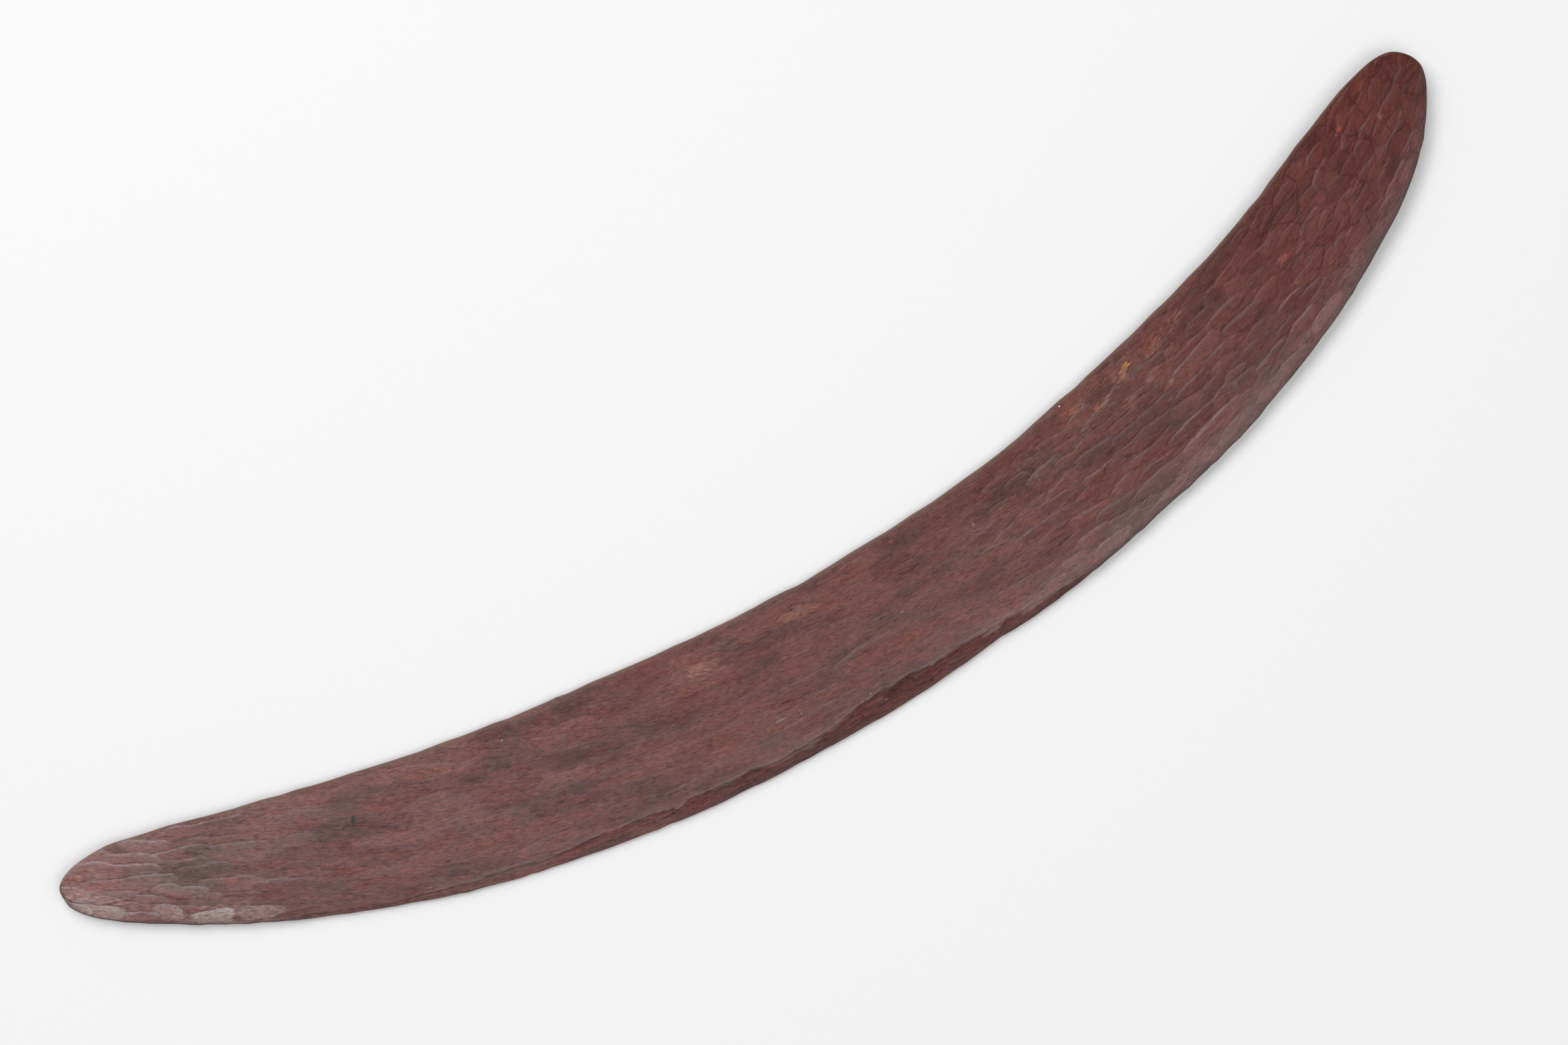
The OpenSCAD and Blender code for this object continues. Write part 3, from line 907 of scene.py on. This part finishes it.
def flake_colour(n, wood, colour):
    """Small flakes, each of its own tone, larger cells towards the right end, and dark splits."""
    flakes = n.scaled(wood.fibre, (0.14, 0.62, 0.5), (3, 1, 0))
    flake_tone = n.make("ShaderNodeSeparateColor")
    n.join(n.cells(flakes), flake_tone.inputs[0])
    colour = n.tint(colour, FLAKE_DARK, n.band(flake_tone.outputs[0], 0.55, 0.95, 0.0, 0.8))
    colour = n.tint(colour, FLAKE_RED, n.band(flake_tone.outputs[1], 0.60, 1.0, 0.0, 0.8))
    flake_line = n.band(n.cells(flakes, "DISTANCE_TO_EDGE"), 0.12, 0.02)
    flake_line = n.product(flake_line, n.band(wood.patches, 0.42, 0.58, 0.15, 0.75))
    colour = n.tint(colour, CELL_LINE, n.product(flake_line, n.band(wood.along, 400, 520, 0.35, 0.5)))
    large_cells = n.scaled(wood.fibre, (0.066, 0.155, 0.1), (6, 2, 0))
    cell_line = n.band(n.cells(large_cells, "DISTANCE_TO_EDGE"), 0.055, 0.012)
    colour = n.tint(colour, CELL_LINE, n.product(cell_line, n.band(wood.along, 585, 625, 0.0, 0.55)))
    return n.tint(colour, CRACK, n.product(wood.split, CRACK_SHOWS))


def cut_colour(n, wood, colour):
    """Each cut has its own tone, a painted highlight on its wall and painted shade along its arris."""
    colour = n.tint(colour, CUT_DEEP, n.band(wood.tone, -1.0, 1.0))
    highlight_tint = n.product(wood.wall, n.band(wood.frost, 0.36, 0.62, 0.25, 1.0))
    colour = n.mix(n.product(highlight_tint, WALL_HIGHLIGHT_SHOWS), colour, WALL_HIGHLIGHT)
    broken = n.band(wood.streaks, 0.30, 0.62, 1.0, 0.6)
    return n.tint(colour, ARRIS_SHADE, n.product(wood.ridge, broken))


def edge_colour(n, wood, colour):
    """The splintered bevel on the outer edge, and a tan rim on the inner one."""
    colour = n.tint(colour, n.mix(n.band(wood.along, 235, 305), BEVEL_LEFT, BEVEL), wood.bevel)
    swayed = n.add_vectors(wood.place, n.scaled(wood.ripple, (0, 3.0, 0)))
    layers = n.noise(n.scaled(swayed, (0.075, 0.8, 0.8), (4, 8, 0)), 4.0, 0.7)
    colour = n.tint(colour, BEVEL_DARK, n.product(wood.bevel, n.band(layers, 0.50, 0.34)))
    colour = n.mix(n.product(wood.bevel, n.band(layers, 0.54, 0.72, 0.0, 0.5)), colour, BEVEL_FLAKE)
    return n.mix(n.product(wood.rim, EDGE_TAN_SHOWS), colour, EDGE_TAN)


def surface_colour(n, wood, colour, frosting_and_highlight):
    """Dust, pale bloom with a painted highlight on the frosted cuts, and painted shade along the outer edge.
    """
    colour = n.mix(n.band(wood.dust, 0.56, 0.80, 0.0, 0.35), colour, DUST)
    colour = n.mix(frosting_and_highlight, colour, n.mix(n.band(wood.along, 300, 460), BLOOM_AND_HIGHLIGHT, EDGE_BLOOM_AND_HIGHLIGHT))
    return n.mix(n.product(wood.brink, BRINK_SHADE_SHOWS), colour, BRINK_SHADE)


def mark_colour(n, wood, colour):
    """The patches and marks, with ragged rims that follow the streaks."""
    fray = n.math("ADD", wood.streaks, n.product(wood.patches, 0.6))
    fray = n.band(fray, 0.62, 0.98, 0.35, 1.65)
    wobble = n.add_vectors(wood.place, wood.wander)
    for centre_along, centre_across, length, width, turn, gain in PATCHES:
        spot = n.spot(wobble, (centre_along, centre_across), (length, width), turn, 0.9)
        colour = n.tint(colour, gain, n.band(n.product(spot, fray), 0.25, 0.70))
    for centre_along, centre_across, length, width, turn, own_colour, strength in MARKS:
        spot = n.spot(wobble, (centre_along, centre_across), (length, width), turn, 0.7)
        ragged = n.band(n.product(spot, fray), 0.32, 0.60, 0.0, strength)
        colour = n.mix(ragged, colour, own_colour)
    return colour


def carved_wood():
    n = Nodes("carved_wood")
    wood = wood_textures(n)
    frosting_and_highlight = n.product(wood.bloom, n.band(wood.frost, 0.37, 0.58, 0.20, 1.0))
    colour = grain_colour(n, wood)
    colour = flake_colour(n, wood, colour)
    colour = cut_colour(n, wood, colour)
    colour = edge_colour(n, wood, colour)
    colour = surface_colour(n, wood, colour, frosting_and_highlight)
    n.join(mark_colour(n, wood, colour), n.shader.inputs["Base Color"])

    # Frosting, the bevel and the dark streaks are duller, and the walls under the painted highlight shine a
    # little
    rough = n.band(wood.broad, 0.3, 0.7, 0.45, 0.39)
    for mask, amount in ((frosting_and_highlight, 0.2), (wood.bevel, 0.35), (wood.wall, -0.04)):
        rough = n.math("ADD", rough, n.product(mask, amount))
    rough = n.math("ADD", rough, n.band(wood.streaks, 0.3, 0.7, 0.08, -0.05))
    n.join(rough, n.shader.inputs["Roughness"])
    n.shader.inputs["Specular IOR Level"].default_value = 0.5

    relief = n.product(wood.streaks, 0.7)
    for texture, amount in ((wood.threads, 0.22), (wood.specks, 0.06), (wood.split, -0.25)):
        relief = n.math("ADD", relief, n.product(texture, amount))
    bump = n.make("ShaderNodeBump")
    bump.inputs["Strength"].default_value = 0.8
    bump.inputs["Distance"].default_value = GRAIN_RELIEF * MM
    n.join(relief, bump.inputs["Height"])
    n.join(bump.outputs[0], n.shader.inputs["Normal"])
    return n.material


# ---------------------------------------------------------------- stage, lights and camera
# The camera looks straight down, turned so that the line between the blade's ends rises by these degrees
VIEW_TURN = 31.62
# x and y at the middle of the view, and how much of the floor the view takes in from side to side
VIEW_CENTRE = (6.6, 28.9)
VIEW_WIDTH = 672.0
LENS, SENSOR = 100.0, 36.0
# Half the side of the floor, in metres
FLOOR_HALF = 6.0
FLOOR_WHITE = (0.86, 0.86, 0.863, 1)
WORLD_WHITE, WORLD_STRENGTH = (0.98, 0.99, 1.0, 1), 0.20
WHITE, COOL_WHITE = (1, 1, 1), (0.92, 0.95, 1.0)


def view_point(azimuth, elevation, distance):
    """A place round the view centre, with its azimuth measured from the right-hand side of the view."""
    turn = math.radians(azimuth - VIEW_TURN)
    rise = math.radians(elevation)
    return (
        VIEW_CENTRE[0] * MM + distance * math.cos(rise) * math.cos(turn),
        VIEW_CENTRE[1] * MM + distance * math.cos(rise) * math.sin(turn),
        distance * math.sin(rise),
    )


def aim(thing, target):
    """Turns a lamp towards a point."""
    heading = Vector(target) - Vector(thing.location)
    thing.rotation_euler = heading.to_track_quat("-Z", "Y").to_euler()


def soft_light(name, azimuth, elevation, distance, width, height, power, colour, gloss_only):
    """A rectangular lamp round the view centre, which lights either the gloss or all but the gloss."""
    data = bpy.data.lights.new(name, "AREA")
    data.shape = "RECTANGLE"
    data.size, data.size_y = width, height
    data.energy = power
    data.color = colour
    lamp = bpy.data.objects.new(name, data)
    bpy.context.scene.collection.objects.link(lamp)
    lamp.location = view_point(azimuth, elevation, distance)
    aim(lamp, (VIEW_CENTRE[0] * MM, VIEW_CENTRE[1] * MM, 0))
    lamp.visible_glossy = gloss_only
    lamp.visible_diffuse = not gloss_only


def pale_floor():
    mesh = bpy.data.meshes.new("floor")
    corners = [(x * FLOOR_HALF, y * FLOOR_HALF, 0) for x, y in ((-1, -1), (1, -1), (1, 1), (-1, 1))]
    mesh.from_pydata(corners, [], [(0, 1, 2, 3)])
    floor = bpy.data.objects.new("floor", mesh)
    bpy.context.scene.collection.objects.link(floor)
    n = Nodes("pale_floor")
    n.shader.inputs["Base Color"].default_value = FLOOR_WHITE
    n.shader.inputs["Roughness"].default_value = 0.9
    n.shader.inputs["Specular IOR Level"].default_value = 0.1
    mesh.materials.append(n.material)


def camera_above():
    data = bpy.data.cameras.new("camera")
    data.lens, data.sensor_width = LENS, SENSOR
    camera = bpy.data.objects.new("camera", data)
    bpy.context.scene.collection.objects.link(camera)
    height = VIEW_WIDTH * MM * LENS / SENSOR
    camera.location = (VIEW_CENTRE[0] * MM, VIEW_CENTRE[1] * MM, height)
    camera.rotation_euler = (0, 0, math.radians(-VIEW_TURN))
    bpy.context.scene.camera = camera


def studio():
    scene = bpy.context.scene
    scene.view_settings.view_transform = "Standard"
    world = bpy.data.worlds.new("studio")
    world.use_nodes = True
    background = world.node_tree.nodes["Background"]
    background.inputs["Color"].default_value = WORLD_WHITE
    background.inputs["Strength"].default_value = WORLD_STRENGTH
    scene.world = world
    # Name, azimuth, elevation, distance, width and height in metres, power, colour, gloss only
    soft_light("overhead", -40, 76, 3.5, 3.0, 3.0, 62.0, WHITE, False)
    soft_light("key", 132, 57, 3.4, 2.6, 1.8, 73.0, WHITE, False)
    soft_light("sheen", -36, 30, 2.0, 2.2, 0.6, 20.0, COOL_WHITE, True)


blade = blade_mesh(Plan())
blade.data.materials.append(carved_wood())
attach(blade, "root")
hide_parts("blade")

pale_floor()
studio()
camera_above()
